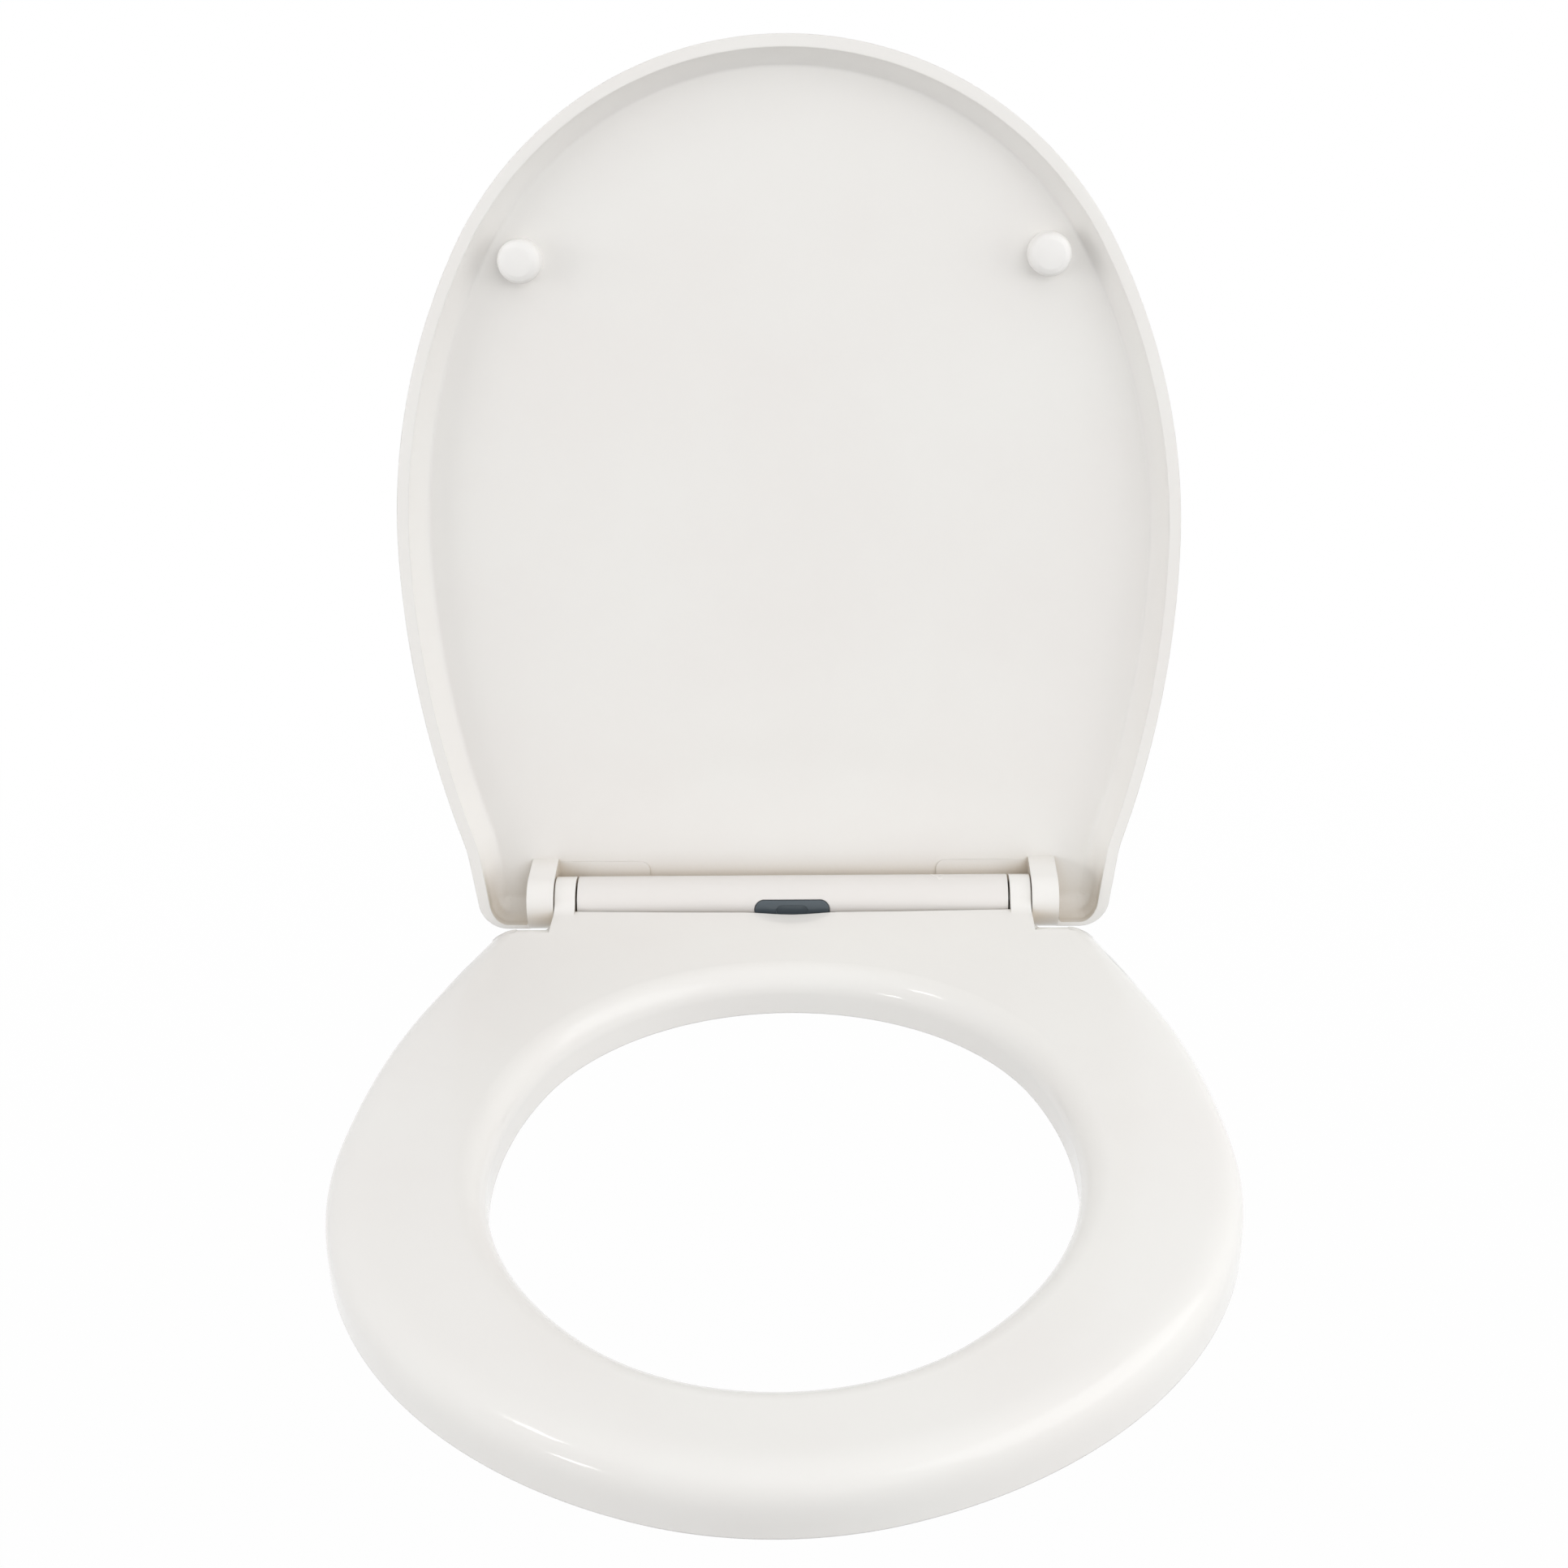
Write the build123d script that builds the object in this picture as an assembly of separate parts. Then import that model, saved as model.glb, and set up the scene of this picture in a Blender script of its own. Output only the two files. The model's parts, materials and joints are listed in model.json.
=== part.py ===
from build123d import *
import math
import os

# Toilet seat with a soft-closing lid on a quick-release hinge, in millimetres.
# X runs across the seat, -Y points to the front and +Z up. The origin lies on top of the pan, midway
# between the two fixing studs. At rest the ring is down and the lid stands open.

# Seat ring, in plan
SEAT_FRONT_Y = -415.5
SEAT_HALF_WIDTH = 184.5
SEAT_FRONT_TUCK = 35.5
SEAT_WIDEST_BACK = 49.5
SEAT_REAR_Y = -21.0
SEAT_CORNER_R = 17.0
SEAT_TAPER_IN = 30.0
SEAT_NECK_RUN = 2.5
SEAT_FLANK_STRAIGHT = 51.0

# Opening of the ring, in plan
OPENING_FRONT_LAND = 51.8
OPENING_REAR_LAND = 57.5
OPENING_HALF_WIDTH = 120.0
OPENING_FRONT_TUCK = 19.0
OPENING_REAR_TUCK = 4.7
OPENING_WIDEST_SHARE = 0.5

# Seat ring, in section
SEAT_UNDERSIDE_Z = 8.0
SEAT_DEPTH = 22.0
SEAT_WALL = 8.0
SEAT_TOP_T = 7.0
SHOULDER_R = 16.0
SHOULDER_BAND_ANGLE = 22.5
INNER_EDGE_R = 12.0
INNER_EDGE_BAND_ANGLE = 30.0
LEAST_R = 0.5

# Hinge line, from the middle outwards
AXIS_Z = 29.0
BARREL_R = 12.5
BARREL_HALF = 108.6
DAMPER_PROUD = 0.6
EAR_GAP = 0.4
EAR_WIDTH = 10.4
LUG_GAP = 0.5
LUG_WIDTH = 13.5
LUG_END_WALL = 1.5
BRIDGE_GAP = 1.5
EAR_SWEEP_R = 9.0
LUG_MARGIN = 1.5
LUG_ROOT = 17.5

# Lid, in plan and section
LID_SIDE_OVERHANG = 4.0
LID_FRONT_SETBACK = 2.0
LID_FRONT_TUCK = 15.5
LID_WIDEST_BACK = 62.0
LID_REAR_Y = 15.8
LID_CORNER_R = 15.0
LID_TAPER_IN = 22.0
LID_NECK_RUN = 32.0
LID_FLARE_R = 60.0
LID_FLARE_TURN = 9.0
LID_OPEN = 95.0
LID_BARREL_GAP = 2.0
LID_PLATE = 5.0
LID_RIM_DEPTH = 13.0
LID_RIM_WIDTH = 5.6
LID_FLOOR_R = 8.5
LID_FLOOR_BAND_ANGLE = 45.0
LID_SHOULDER_R = 9.0
LID_SHOULDER_BAND_ANGLE = 45.0
LID_PAD_RISE = 0.5
LID_PAD_WIDTH = 47.0
LID_PAD_FRONT = 16.0
LID_PAD_R = 5.0

# Bumpers
LID_BUMPER_R = 11.0
LID_BUMPER_SIDE = 65.5
LID_BUMPER_BACK = 97.0
LID_BUMPER_EDGE = 4.0
LID_BUMPER_BAND_ANGLE = 45.0
BUMPER_REST_GAP = 0.3
RING_BUMPER_LENGTH = 30.0
RING_BUMPER_WIDTH = 13.0
RING_BUMPER_EDGE = 1.5
RING_TENON_LENGTH = 14.0
RING_TENON_WIDTH = 5.0
RING_TENON_H = 8.0
RING_BOSS_MARGIN = 3.0
FRONT_BUMPER_IN = 42.25
FRONT_BUMPER_BACK = 84.0
FRONT_BUMPER_TURN = 48.0
REAR_BUMPER_IN = 19.25
REAR_BUMPER_AHEAD = 97.5
REAR_BUMPER_TURN = 108.0

# Fixing posts and studs
POST_X = 77.5
DISC_R = 15.0
DISC_H = 4.0
POST_R = 5.0
NECK_HALF = 3.3
POST_SHANK = 5.5
HEAD_H = 3.3
STUD_R = 4.0
PAN_THICKNESS = 14.0
THREAD_R = 3.75
THREAD_LENGTH = 24.0

# Fixings below the pan
WASHER_GAP = 0.5
WASHER_R = 12.0
WASHER_T = 5.0
NUT_GAP = 0.3
NUT_FLATS = 15.0
NUT_SIDES = 6
NUT_H = 9.0
NUT_WING_REACH = 22.0
NUT_WING_T = 3.4
NUT_WING_DROP = 15.0
NUT_WING_LIFT = 5.0
NUT_WING_TIP = 6.0

# Keel of the barrel, its latch channel and its cover
KEEL_END_GAP = 4.6
KEEL_HALF_Y = 10.5
KEEL_WALL = 2.2
KEEL_EDGE_R = 1.5
CHANNEL_END_GAP = 5.2
CHANNEL_HEADROOM = 1.0
COVER_T = 2.0
COVER_POST_GAP = 13.5
COVER_LIP = 1.0

# Release button
BUTTON_WIDTH = 37.4
BUTTON_HEIGHT = 10.6
BUTTON_R = 4.5
BUTTON_PROUD = 0.4
BUTTON_PAD = 4.0
BUTTON_GAP = 0.3
BUTTON_STROKE = 4.0
DIMPLE_WIDTH = 16.0
DIMPLE_HEIGHT = 6.0
DIMPLE_DEPTH = 0.5
CHAMBER_END = 5.0
CHAMBER_BACK_Y = 8.0
BLOCK_HALF_X = 12.0
BLOCK_HALF_Z = 4.5
BLOCK_BACK_Y = -3.0
STEM_HALF_X = 8.0
STEM_FRONT_Y = -6.0
STEM_T = 3.0
STEM_GAP = 0.6
SPRING_T = 0.6
SPRING_HALF_Z = 3.5
SPRING_NOSE = 3.2
SPRING_LEG_X = 14.5
SPRING_FOOT = 3.5

# Latch bars
BAR_T = 2.6
BAR_GAP = 0.3
BAR_INNER_X = 14.0
BAR_END_WALL = 3.0
PIN_R = 2.0
PIN_X = 22.0
PIN_TIP = 0.3
CAM_ANGLE = 45.0
CAM_GAP = 0.6
CAM_T = 2.5
CAM_MARGIN = 4.0
SLOT_OVERRUN = 0.3

# Dampers and shafts
DAMPER_R = 9.0
DAMPER_LENGTH = 50.0
DAMPER_MOUTH = 20.0
SHAFT_R = 5.0
SHAFT_FLAT = 3.6

# Fits
RUNNING = 0.05
SEATED = 0.02

# One quarter of a full turn, in degrees
QUARTER_TURN = 90.0

# Places that follow from the sizes above
SEAT_TOP_Z = SEAT_UNDERSIDE_Z + SEAT_DEPTH
BRIDGE_R = BARREL_R + BRIDGE_GAP
DAMPER_FACE = BARREL_HALF + DAMPER_PROUD
EAR_IN = DAMPER_FACE + EAR_GAP
EAR_OUT = EAR_IN + EAR_WIDTH
LUG_IN = EAR_OUT + LUG_GAP
LUG_OUT = LUG_IN + LUG_WIDTH
LUG_BORE_END = LUG_OUT - LUG_END_WALL
LUG_R = BARREL_R + LUG_MARGIN
LID_FLOOR_Z = AXIS_Z + BARREL_R + LID_BARREL_GAP
LID_RIM_Z = LID_FLOOR_Z - LID_RIM_DEPTH
LID_TOP_Z = LID_FLOOR_Z + LID_PLATE
LID_FRONT_Y = SEAT_FRONT_Y + LID_FRONT_SETBACK
LID_HALF_WIDTH = SEAT_HALF_WIDTH + LID_SIDE_OVERHANG
LID_BUMPER_X = LID_HALF_WIDTH - LID_BUMPER_SIDE
RING_MIDDLE_X = (SEAT_HALF_WIDTH + OPENING_HALF_WIDTH) / 2
FRONT_BUMPER_X = RING_MIDDLE_X - FRONT_BUMPER_IN
REAR_BUMPER_X = RING_MIDDLE_X - REAR_BUMPER_IN
OPENING_FRONT_Y = SEAT_FRONT_Y + OPENING_FRONT_LAND
OPENING_REAR_Y = SEAT_REAR_Y - OPENING_REAR_LAND
NECK_Z = DISC_H + POST_SHANK
BAR_Z = NECK_Z + BAR_GAP
HEAD_Z = BAR_Z + BAR_T + BAR_GAP
HEAD_TOP_Z = HEAD_Z + HEAD_H
CHANNEL_TOP_Z = HEAD_TOP_Z + CHANNEL_HEADROOM
CHANNEL_HALF_Y = KEEL_HALF_Y - KEEL_WALL
KEYHOLE_X = POST_X + BUTTON_STROKE
KEYHOLE_R = POST_R + BAR_GAP
BAR_OUTER_X = KEYHOLE_X + KEYHOLE_R + BAR_END_WALL
CHANNEL_HALF_X = BAR_OUTER_X + CHANNEL_END_GAP
KEEL_HALF_X = BARREL_HALF - KEEL_END_GAP
COVER_HALF_X = POST_X - COVER_POST_GAP
COVER_TOP_Z = DISC_H + COVER_T
CAM_Z = BAR_Z + BAR_T + CAM_GAP
CAM_FRONT_Y = -(CHANNEL_HALF_Y - BAR_GAP)
CAM_BACK_Y = CHANNEL_HALF_Y - BAR_GAP - BUTTON_STROKE
PAD_FACE_R = BARREL_R + BUTTON_PROUD
PAD_BACK_Y = -(PAD_FACE_R - BUTTON_PAD)
CHAMBER_HALF_X = BUTTON_WIDTH / 2 + CHAMBER_END
CHAMBER_HALF_Z = BUTTON_HEIGHT / 2 + BUTTON_GAP
DAMPER_IN = BARREL_HALF - DAMPER_LENGTH
WASHER_Z = -(PAN_THICKNESS + WASHER_GAP)
NUT_Z = WASHER_Z - WASHER_T - NUT_GAP


def block(x0, x1, y0, y1, z0, z1):
    """A box between two corners."""
    box = Box(x1 - x0, y1 - y0, z1 - z0, align=(Align.MIN, Align.MIN, Align.MIN))
    return Pos(x0, y0, z0) * box


def z_rod(radius, z0, z1, x=0.0, y=0.0):
    """A cylinder along Z between two heights."""
    rod = Cylinder(radius, z1 - z0, align=(Align.CENTER, Align.CENTER, Align.MIN))
    return Pos(x, y, z0) * rod


def axis_rod(radius, x0, x1):
    """A cylinder on the hinge axis between two stations."""
    length = x1 - x0
    return Pos((x0 + x1) / 2, 0, AXIS_Z) * Rot(Y=90) * Cylinder(radius, length)


def keyed_rod(radius, flat, x0, x1):
    """A rod on the hinge axis with two flats, one above and one below."""
    slab = Pos((x0 + x1) / 2, 0, AXIS_Z) * Box(x1 - x0, 2 * radius, 2 * flat)
    return axis_rod(radius, x0, x1) & slab


def across(profile, x0, x1):
    """A profile drawn in Y and Z, drawn out along X between two stations."""
    return extrude(Plane.YZ.offset(x0) * profile, amount=x1 - x0)


def mirrored(shape):
    """The same shape on the other side of the middle plane."""
    return mirror(shape, about=Plane.YZ)


def both_posts(shape):
    """A shape drawn at the origin, once at each post."""
    return Compound(children=[Pos(way * POST_X, 0, 0) * shape for way in (-1, 1)])


def on_circle(centre, radius, angle):
    """The point on a circle at an angle in radians from its first axis."""
    return Vector(centre[0] + radius * math.cos(angle), centre[1] + radius * math.sin(angle))


def arc(centre, radius, start, end):
    """An arc of a circle between two angles in radians."""
    middle = (start + end) / 2
    return ThreePointArc(*(on_circle(centre, radius, a) for a in (start, middle, end)))


def tangent_point(radius, y, z):
    """Where the lower tangent from a point in Y and Z touches a circle on the hinge axis."""
    away = math.hypot(y, z - AXIS_Z)
    angle = math.atan2(z - AXIS_Z, y)
    return on_circle((0, AXIS_Z), radius, angle + math.acos(radius / away))


def front_half(front_y, half_width, tuck, back, inset):
    """The arcs from the front centre to the widest place, and where that place lies along Y."""
    front_r = half_width - tuck
    centre_y = front_y + front_r
    widest_y = centre_y + back
    side_r = (half_width + front_r) / 2 + back**2 / (2 * tuck)
    side_centre = (half_width - side_r, widest_y)
    meet = math.atan2(-back, side_r - half_width)
    arcs = [
        arc((0, centre_y), front_r - inset, -math.pi / 2, meet),
        arc(side_centre, side_r - inset, meet, 0),
    ]
    return arcs, widest_y


def outline(front_y, half_width, tuck, back, taper_in, neck_run, straight, rear_y, corner_r,
            flare_r=0.0, flare_turn=0.0, inset=0.0):
    """A seat-shaped face: round front, full sides, tapered flanks and a straight rear edge."""
    half, widest_y = front_half(front_y, half_width, tuck, back, inset)
    neck_y = rear_y - corner_r - neck_run
    run = neck_y - widest_y
    flank_r = (taper_in**2 + run**2 - straight**2) / (2 * taper_in)
    flank_centre = Vector(half_width - flank_r, widest_y)
    neck = Vector(half_width - taper_in, neck_y)
    reach = neck - flank_centre
    turn = math.atan2(reach.Y, reach.X) - math.atan2(straight, flank_r)
    half.append(arc((flank_centre.X, flank_centre.Y), flank_r - inset, 0, turn))
    normal = Vector(math.cos(turn), math.sin(turn))
    start = neck
    if flare_turn:
        flare_centre = neck + normal * flare_r
        flared = turn - math.radians(flare_turn)
        bow = arc((flare_centre.X, flare_centre.Y), flare_r + inset, turn + math.pi, flared + math.pi)
        half.append(bow)
        turn = flared
        normal = Vector(math.cos(turn), math.sin(turn))
        start = flare_centre - normal * flare_r
    heading = Vector(-normal.Y, normal.X)
    round_r = max(corner_r, inset + LEAST_R)
    ahead = (rear_y - round_r + round_r * normal.Y - start.Y) / heading.Y
    corner_centre = start + heading * ahead - normal * round_r
    corner = arc((corner_centre.X, corner_centre.Y), round_r - inset, turn, math.pi / 2)
    half += [Line(half[-1] @ 1, corner @ 0), corner]
    rear = corner @ 1
    other = [mirror(edge, about=Plane.YZ) for edge in half]
    return make_face([*half, *other, Line(rear, Vector(-rear.X, rear.Y))])


def seat_plan(inset=0.0):
    """Plan of the ring's outside, drawn in by an inset."""
    return outline(SEAT_FRONT_Y, SEAT_HALF_WIDTH, SEAT_FRONT_TUCK, SEAT_WIDEST_BACK, SEAT_TAPER_IN,
                   SEAT_NECK_RUN, SEAT_FLANK_STRAIGHT, SEAT_REAR_Y, SEAT_CORNER_R, inset=inset)


def lid_plan(inset=0.0):
    """Plan of the closed lid's outside, drawn in by an inset."""
    return outline(LID_FRONT_Y, LID_HALF_WIDTH, LID_FRONT_TUCK, LID_WIDEST_BACK, LID_TAPER_IN,
                   LID_NECK_RUN, 0.0, LID_REAR_Y, LID_CORNER_R, LID_FLARE_R, LID_FLARE_TURN, inset)


def lid_cavity_plan(inset=0.0):
    """Plan of the hollow inside the lid's rim, drawn in by an inset."""
    return lid_plan(LID_RIM_WIDTH + inset)


def opening_plan(outset=0.0):
    """Plan of the ring's opening, an oval of four arcs on each side, let out by an outset."""
    widest_y = OPENING_FRONT_Y + (OPENING_REAR_Y - OPENING_FRONT_Y) * OPENING_WIDEST_SHARE
    half = []
    for end_y, tuck, way in (
        (OPENING_FRONT_Y, OPENING_FRONT_TUCK, -1),
        (OPENING_REAR_Y, OPENING_REAR_TUCK, 1),
    ):
        end_r = OPENING_HALF_WIDTH - tuck
        end_centre = end_y - way * end_r
        back = abs(end_centre - widest_y)
        side_r = (OPENING_HALF_WIDTH + end_r) / 2 + back**2 / (2 * tuck)
        side_centre = (OPENING_HALF_WIDTH - side_r, widest_y)
        meet = math.atan2(way * back, side_r - OPENING_HALF_WIDTH)
        end_arc = arc((0, end_centre), end_r + outset, way * math.pi / 2, meet)
        side_arc = arc(side_centre, side_r + outset, meet, 0)
        half.append((end_arc, side_arc))
    (front_end, front_side), (rear_end, rear_side) = half
    edges = [front_end, front_side, rear_side, rear_end]
    return make_face([*edges, *(mirror(edge, about=Plane.YZ) for edge in edges)])


def rolled(plan, low_z, top_z, radius, band_angle):
    """A body on a plan whose wall rolls over into its flat top, as a loft through insets of the plan."""
    sections = [Pos(0, 0, low_z) * plan(0.0)]
    bands = round(QUARTER_TURN / band_angle)
    for band in range(bands + 1):
        angle = math.radians(QUARTER_TURN) * band / bands
        height = top_z - radius + radius * math.sin(angle)
        sections.append(Pos(0, 0, height) * plan(radius * (1 - math.cos(angle))))
    return loft(sections, ruled=True)


def ear_profile():
    """Side view of an ear: round about the axis, with a hollow sweep down to the bridge."""
    sweep_z = SEAT_TOP_Z + EAR_SWEEP_R
    front = math.sqrt((BARREL_R + EAR_SWEEP_R) ** 2 - (sweep_z - AXIS_Z) ** 2)
    meet = math.atan2(AXIS_Z - sweep_z, front)
    sweep = arc((-front, sweep_z), EAR_SWEEP_R, -math.pi / 2, meet)
    foot = AXIS_Z - BARREL_R
    rest = Polyline(sweep @ 1, (0, AXIS_Z), (0, foot), (-front, foot), sweep @ 0)
    return make_face([sweep, rest]) + Pos(0, AXIS_Z) * Circle(BARREL_R)


def bumper_places():
    """Place and turn of each bumper under the ring, as name: (x, y, degrees)."""
    front_y = SEAT_FRONT_Y + FRONT_BUMPER_BACK
    rear_y = SEAT_REAR_Y - REAR_BUMPER_AHEAD
    return {
        "front_right_bumper": (FRONT_BUMPER_X, front_y, FRONT_BUMPER_TURN),
        "front_left_bumper": (-FRONT_BUMPER_X, front_y, -FRONT_BUMPER_TURN),
        "rear_right_bumper": (REAR_BUMPER_X, rear_y, REAR_BUMPER_TURN),
        "rear_left_bumper": (-REAR_BUMPER_X, rear_y, -REAR_BUMPER_TURN),
    }


def tenon(gap):
    """The tenon of a ring bumper, let out by a gap for its pocket."""
    plan = Rectangle(RING_TENON_LENGTH + 2 * gap, RING_TENON_WIDTH + 2 * gap)
    return extrude(Pos(0, 0, SEAT_UNDERSIDE_Z) * plan, amount=RING_TENON_H + gap)


def ring_bumper(x, y, turn):
    """A rubber foot of the ring: a block with a chamfered sole and a tenon in the ring's boss."""
    foot = extrude(Rectangle(RING_BUMPER_LENGTH, RING_BUMPER_WIDTH), amount=SEAT_UNDERSIDE_Z)
    foot = chamfer(foot.faces().sort_by(Axis.Z)[0].edges(), RING_BUMPER_EDGE)
    return Pos(x, y, 0) * Rot(Z=turn) * (foot + tenon(0.0))


def ring_hollow():
    """The space under the ring's top, round the bosses of its bumpers."""
    depth = SEAT_DEPTH - SEAT_TOP_T
    hollow = extrude(seat_plan(SEAT_WALL) - opening_plan(SEAT_WALL), amount=depth)
    hollow += block(-EAR_OUT + SEAT_WALL, EAR_OUT - SEAT_WALL, SEAT_REAR_Y - SHOULDER_R,
                    -BRIDGE_R - SEAT_WALL, 0, depth)
    boss = extrude(Rectangle(RING_BUMPER_LENGTH + 2 * RING_BOSS_MARGIN,
                             RING_BUMPER_WIDTH + 2 * RING_BOSS_MARGIN), amount=depth)
    for x, y, turn in bumper_places().values():
        hollow -= Pos(x, y, 0) * Rot(Z=turn) * boss
    return Pos(0, 0, SEAT_UNDERSIDE_Z) * hollow


def seat_ring():
    """The ring: a hollow moulding with a bridge at the back and two ears."""
    ring = rolled(seat_plan, SEAT_UNDERSIDE_Z, SEAT_TOP_Z, SHOULDER_R, SHOULDER_BAND_ANGLE)
    ring -= rolled(opening_plan, SEAT_UNDERSIDE_Z, SEAT_TOP_Z, INNER_EDGE_R, INNER_EDGE_BAND_ANGLE)
    ring += block(-EAR_OUT, EAR_OUT, SEAT_REAR_Y - SHOULDER_R, -BRIDGE_R, SEAT_UNDERSIDE_Z, SEAT_TOP_Z)
    ring -= ring_hollow()
    for x, y, turn in bumper_places().values():
        ring -= Pos(x, y, 0) * Rot(Z=turn) * tenon(SEATED)
    ears = across(ear_profile(), EAR_IN, EAR_OUT)
    for ear in (ears, mirrored(ears)):
        ring += ear
    barrel_room = block(-EAR_IN, EAR_IN, -BRIDGE_R, BRIDGE_R, AXIS_Z, AXIS_Z + BRIDGE_R)
    ring -= axis_rod(BRIDGE_R, -EAR_IN, EAR_IN) & barrel_room
    ring -= keyed_rod(SHAFT_R + SEATED, SHAFT_FLAT + SEATED, -EAR_OUT, -EAR_IN)
    return ring - axis_rod(SHAFT_R + RUNNING, EAR_IN, EAR_OUT)


def opened(shape):
    """A shape of the closed lid, turned about the hinge axis to where the lid stands open."""
    return Pos(0, 0, AXIS_Z) * Rot(X=-LID_OPEN) * Pos(0, 0, -AXIS_Z) * shape


def lug_profile():
    """Side view of a lug on the closed lid: it hangs from the floor and is round about the axis."""
    touch = tangent_point(LUG_R, -LUG_ROOT, LID_FLOOR_Z)
    root = LID_FLOOR_Z + LID_PLATE / 2
    body = Polyline(
        (-LUG_ROOT, root), (-LUG_ROOT, LID_FLOOR_Z), touch, (0, AXIS_Z), (LUG_R, AXIS_Z),
        (LUG_R, root), close=True
    )
    return make_face(body) + Pos(0, AXIS_Z) * Circle(LUG_R)


def lid_pad():
    """The low pad on the lid's floor beside the right lug."""
    pad = block(LUG_IN - LID_PAD_WIDTH, LUG_IN, -LID_PAD_FRONT, LID_REAR_Y,
                LID_FLOOR_Z - LID_PAD_RISE, LID_FLOOR_Z)
    corner = pad.edges().filter_by(Axis.Z).group_by(Axis.X)[0].sort_by(Axis.Y)[0]
    return fillet(corner, LID_PAD_R)


def lid_shell():
    """The lid: a plate with a deep rim, open at the back between its two lugs."""
    shell = rolled(lid_plan, LID_RIM_Z, LID_TOP_Z, LID_SHOULDER_R, LID_SHOULDER_BAND_ANGLE)
    shell -= rolled(lid_cavity_plan, LID_RIM_Z, LID_FLOOR_Z, LID_FLOOR_R, LID_FLOOR_BAND_ANGLE)
    shell -= block(-LUG_OUT, LUG_OUT, -LUG_ROOT, LID_REAR_Y, LID_RIM_Z, LID_FLOOR_Z)
    for side in (lid_pad(), across(lug_profile(), LUG_IN, LUG_OUT)):
        shell += side
        shell += mirrored(side)
    shell = opened(shell)
    shell -= keyed_rod(SHAFT_R + SEATED, SHAFT_FLAT + SEATED, LUG_IN, LUG_BORE_END)
    return shell - axis_rod(SHAFT_R + RUNNING, -LUG_BORE_END, -LUG_IN)


def bumper_plan(inset=0.0):
    """Plan of a lid bumper, drawn in by an inset."""
    return Circle(LID_BUMPER_R - inset)


def lid_bumpers():
    """The two round bumpers on the lid's floor."""
    height = LID_FLOOR_Z - SEAT_TOP_Z - BUMPER_REST_GAP
    post = rolled(bumper_plan, 0, height, LID_BUMPER_EDGE, LID_BUMPER_BAND_ANGLE)
    y = LID_FRONT_Y + LID_BUMPER_BACK
    right = opened(Pos(LID_BUMPER_X, y, LID_FLOOR_Z) * Rot(X=180) * post)
    return Compound(children=[right, mirrored(right)])


def cover_blank(gap):
    """The cover as a plain plate, let out by a gap for its rebate."""
    half_x = COVER_HALF_X + gap
    half_y = CHANNEL_HALF_Y + COVER_LIP + gap
    return block(-half_x, half_x, -half_y, half_y, DISC_H, COVER_TOP_Z)


def hinge_barrel():
    """The housing of the hinge: a barrel on the axis over a keel that holds the latch."""
    keel = block(-KEEL_HALF_X, KEEL_HALF_X, -KEEL_HALF_Y, KEEL_HALF_Y, DISC_H, AXIS_Z - KEEL_WALL)
    keel = fillet(keel.edges().filter_by(Axis.Z), KEEL_EDGE_R)
    barrel = axis_rod(BARREL_R, -BARREL_HALF, BARREL_HALF) + keel
    bore = axis_rod(DAMPER_R + RUNNING, DAMPER_IN, BARREL_HALF)
    for end in (bore, mirrored(bore)):
        barrel -= end
    barrel -= block(-CHANNEL_HALF_X, CHANNEL_HALF_X, -CHANNEL_HALF_Y, CHANNEL_HALF_Y,
                    DISC_H, CHANNEL_TOP_Z)
    barrel -= cover_blank(RUNNING)
    barrel -= block(-CHAMBER_HALF_X, CHAMBER_HALF_X, PAD_BACK_Y, CHAMBER_BACK_Y,
                    AXIS_Z - CHAMBER_HALF_Z, AXIS_Z + CHAMBER_HALF_Z)
    barrel -= button_pad(BUTTON_GAP)
    stem_back = STEM_FRONT_Y + STEM_T + BUTTON_STROKE
    return barrel - block(-STEM_HALF_X - STEM_GAP, STEM_HALF_X + STEM_GAP, STEM_FRONT_Y - STEM_GAP,
                          stem_back + STEM_GAP, CHANNEL_TOP_Z, AXIS_Z)


def hinge_cover():
    """The plate that closes the latch channel between the posts, with ribs that carry the bars."""
    cover = cover_blank(0.0)
    rib_y = CHANNEL_HALF_Y - BAR_GAP - KEEL_WALL / 2
    rib_in = PIN_X + PIN_R + BUTTON_STROKE
    rib = block(rib_in, COVER_HALF_X, -KEEL_WALL / 2, KEEL_WALL / 2, COVER_TOP_Z, NECK_Z)
    for y in (-rib_y, rib_y):
        side = Pos(0, y, 0) * rib
        cover += side
        cover += mirrored(side)
    return cover


def button_pad(gap):
    """The button's rounded block in front of its chamber, let out by a gap for its opening."""
    shape = RectangleRounded(BUTTON_WIDTH + 2 * gap, BUTTON_HEIGHT + 2 * gap, BUTTON_R + gap)
    return extrude(Plane.XZ.offset(-PAD_BACK_Y) * Pos(0, AXIS_Z) * shape, amount=BUTTON_PAD)


def cam_slot():
    """The slanted slot of the button's plate that moves the right latch bar's pin."""
    width = 2 * (PIN_R + RUNNING)
    length = math.hypot(BUTTON_STROKE, BUTTON_STROKE) + width + 2 * SLOT_OVERRUN
    slot = extrude(SlotOverall(length, width), amount=CAM_T)
    return Pos(PIN_X - BUTTON_STROKE / 2, -BUTTON_STROKE / 2, CAM_Z) * Rot(Z=CAM_ANGLE) * slot


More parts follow.
